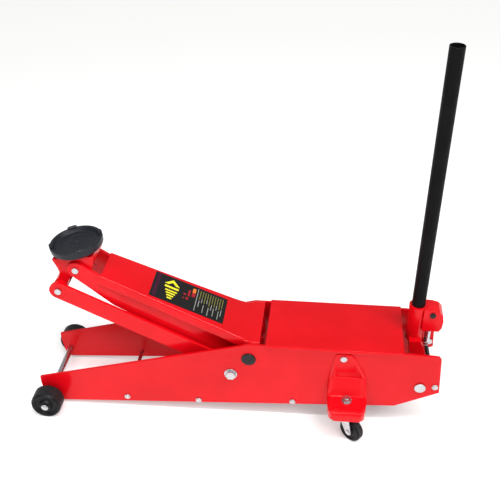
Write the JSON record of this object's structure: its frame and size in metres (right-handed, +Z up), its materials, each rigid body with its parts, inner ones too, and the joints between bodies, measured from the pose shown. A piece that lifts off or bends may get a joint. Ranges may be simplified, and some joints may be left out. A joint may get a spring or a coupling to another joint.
{
  "type": "long-chassis floor jack",
  "caption": "Long-chassis hydraulic floor jack with a parallel-link lifting arm, swivelling saddle, pumping and twisting handle, fixed front wheels and rear swivel casters.",
  "frame": {"origin": "On the floor under the centre of the jack's overall box, wheels resting on Z = 0.", "axes": "+X points to the handle end, -X to the saddle and front wheels, +Y to the jack's right side seen from the handle, +Z up."},
  "size_m": [1.015, 0.342, 0.9484],
  "materials": {
    "red_enamel": "glossy bright red enamel on pressed steel",
    "red_casting": "glossy red enamel over an as-cast surface",
    "black_gloss": "black oxide, semi-gloss",
    "zinc_bright": "bright zinc plating",
    "bare_steel": "turned bare steel, oiled",
    "cast_iron_dark": "dark painted cast iron",
    "black_poly": "black plug",
    "label_print": "printed film label, black with yellow marks",
    "wheel_black": "glossy black wheel with a worn grey tread",
    "saddle_black": "black coated cast saddle",
    "ground_chrome": "ground and hard-chromed rod",
    "spring_steel": "dark oiled spring steel",
    "handle_black": "satin black powder coat"
  },
  "bodies": {
    "frame": {"side_plate_left": "red_enamel", "side_plate_right": "red_enamel", "front_axle": "zinc_bright", "axle_spacers": "zinc_bright", "axle_caps": "zinc_bright", "tie_rods": "zinc_bright", "tie_rod_bolts": "zinc_bright", "rear_bolts": "zinc_bright", "arm_pivot_shaft": "bare_steel", "arm_pivot_caps": "black_gloss", "link_pivot_bolts": "zinc_bright", "link_washers": "zinc_bright", "link_spacers": "zinc_bright", "top_cover": "red_enamel", "caster_bracket_left": "red_enamel", "caster_bracket_right": "red_enamel", "caster_bracket_bolts": "zinc_bright", "caster_kingpins": "zinc_bright", "kingpin_nuts": "zinc_bright", "pump_block": "cast_iron_dark", "ram_cylinder": "cast_iron_dark", "pump_barrel": "bare_steel", "release_valve": "zinc_bright", "filler_plug": "black_poly", "yoke_shaft": "zinc_bright", "return_springs": "spring_steel"},
    "front_wheel_left": {"front_wheel_left": "wheel_black"},
    "front_wheel_right": {"front_wheel_right": "wheel_black"},
    "lift_arm": {"arm_top_channel": "red_enamel", "arm_side_left": "red_enamel", "arm_side_right": "red_enamel", "arm_hub": "red_enamel", "arm_crank": "red_enamel", "arm_crank_pin": "bare_steel", "saddle_bracket_pin": "zinc_bright", "rating_label": "label_print"},
    "link_left": {"parallel_link_left": "red_enamel"},
    "link_right": {"parallel_link_right": "red_enamel"},
    "saddle_bracket": {"saddle_bracket": "red_casting", "link_front_pin": "zinc_bright"},
    "saddle": {"saddle": "saddle_black", "saddle_post": "bare_steel"},
    "caster_left": {"caster_fork_left": "zinc_bright", "caster_axle_left": "zinc_bright"},
    "caster_right": {"caster_fork_right": "zinc_bright", "caster_axle_right": "zinc_bright"},
    "caster_wheel_left": {"caster_wheel_left": "wheel_black"},
    "caster_wheel_right": {"caster_wheel_right": "wheel_black"},
    "ram": {"ram_rod": "ground_chrome", "ram_yoke": "cast_iron_dark"},
    "plunger": {"pump_plunger": "ground_chrome"},
    "socket": {"handle_socket": "red_casting", "release_gear_case": "red_casting", "gear_case_bolts": "black_gloss", "pump_roller": "bare_steel"},
    "handle": {"handle_tube": "handle_black", "handle_gear": "bare_steel"},
    "release_spindle": {"release_pinion": "bare_steel", "release_fork": "zinc_bright"},
    "release_rod": {"release_rod": "black_gloss"}
  },
  "joints": [
    {"name": "front_wheel_left_spin", "type": "hinge", "parent": "frame", "child": "front_wheel_left", "pos_m": [-0.4695, -0.1225, 0.038], "axis": [0, 1, 0], "continuous": true},
    {"name": "front_wheel_right_spin", "type": "hinge", "parent": "frame", "child": "front_wheel_right", "pos_m": [-0.4695, 0.1225, 0.038], "axis": [0, 1, 0], "continuous": true},
    {"name": "arm_lift", "type": "hinge", "parent": "frame", "child": "lift_arm", "pos_m": [0.0465, 0, 0.192], "axis": [0, 1, 0], "range_deg": [-36, 8]},
    {"name": "link_left_swing", "type": "hinge", "parent": "frame", "child": "link_left", "pos_m": [0.0015, -0.06, 0.14], "axis": [0, 1, 0], "range_deg": [-36, 8]},
    {"name": "link_right_swing", "type": "hinge", "parent": "frame", "child": "link_right", "pos_m": [0.0015, 0.06, 0.14], "axis": [0, 1, 0], "range_deg": [-36, 8]},
    {"name": "bracket_tilt", "type": "hinge", "parent": "lift_arm", "child": "saddle_bracket", "pos_m": [-0.3655, 0, 0.402], "axis": [0, 1, 0], "range_deg": [-8, 36]},
    {"name": "saddle_turn", "type": "hinge", "parent": "saddle_bracket", "child": "saddle", "pos_m": [-0.3705, 0, 0.4565], "axis": [-0.1305, 0, 0.9914], "continuous": true},
    {"name": "ram_stroke", "type": "slide", "parent": "frame", "child": "ram", "axis": [-1, 0, 0], "range_m": [-0.0435, 0.0098]},
    {"name": "caster_left_swivel", "type": "hinge", "parent": "frame", "child": "caster_left", "pos_m": [0.2865, -0.126, 0.1], "axis": [0, 0, 1], "continuous": true},
    {"name": "caster_right_swivel", "type": "hinge", "parent": "frame", "child": "caster_right", "pos_m": [0.2865, 0.126, 0.1], "axis": [0, 0, 1], "continuous": true},
    {"name": "caster_wheel_left_spin", "type": "hinge", "parent": "caster_left", "child": "caster_wheel_left", "pos_m": [0.30282, -0.13922, 0.03], "axis": [0.6293, 0.7771, 0], "continuous": true},
    {"name": "caster_wheel_right_spin", "type": "hinge", "parent": "caster_right", "child": "caster_wheel_right", "pos_m": [0.30282, 0.13922, 0.03], "axis": [-0.6293, 0.7771, 0], "continuous": true},
    {"name": "socket_pump", "type": "hinge", "parent": "frame", "child": "socket", "pos_m": [0.4605, 0, 0.1335], "axis": [0, 1, 0], "range_deg": [0, 45], "stiffness_Nm_per_rad": 25, "springref_deg": -17.19},
    {"name": "pump_stroke", "type": "slide", "parent": "frame", "child": "plunger", "axis": [-1, 0, 0], "range_m": [0, 0.0216]},
    {"name": "handle_twist", "type": "hinge", "parent": "socket", "child": "handle", "pos_m": [0.442, 0, 0.13374], "axis": [0.0131, 0, 0.9999], "range_deg": [0, 90]},
    {"name": "release_turn", "type": "hinge", "parent": "socket", "child": "release_spindle", "pos_m": [0.4735, 0, 0.13333], "axis": [0.0131, 0, 0.9999], "range_deg": [-75, 0]},
    {"name": "release_rod_turn", "type": "hinge", "parent": "socket", "child": "release_rod", "pos_m": [0.47436, 0, 0.19932], "axis": [-0.2292, 0, 0.9734], "range_deg": [-75, 0]}
  ],
  "couplings": [
    {"joint": "link_left_swing", "follows": "arm_lift", "ratio": 1},
    {"joint": "link_right_swing", "follows": "arm_lift", "ratio": 1},
    {"joint": "bracket_tilt", "follows": "arm_lift", "ratio": -1},
    {"joint": "ram_stroke", "follows": "arm_lift", "m_per_rad": 0.068468},
    {"joint": "pump_stroke", "follows": "socket_pump", "m_per_rad": 0.027286},
    {"joint": "release_turn", "follows": "handle_twist", "ratio": -0.82353},
    {"joint": "release_rod_turn", "follows": "handle_twist", "ratio": -0.82353}
  ]
}
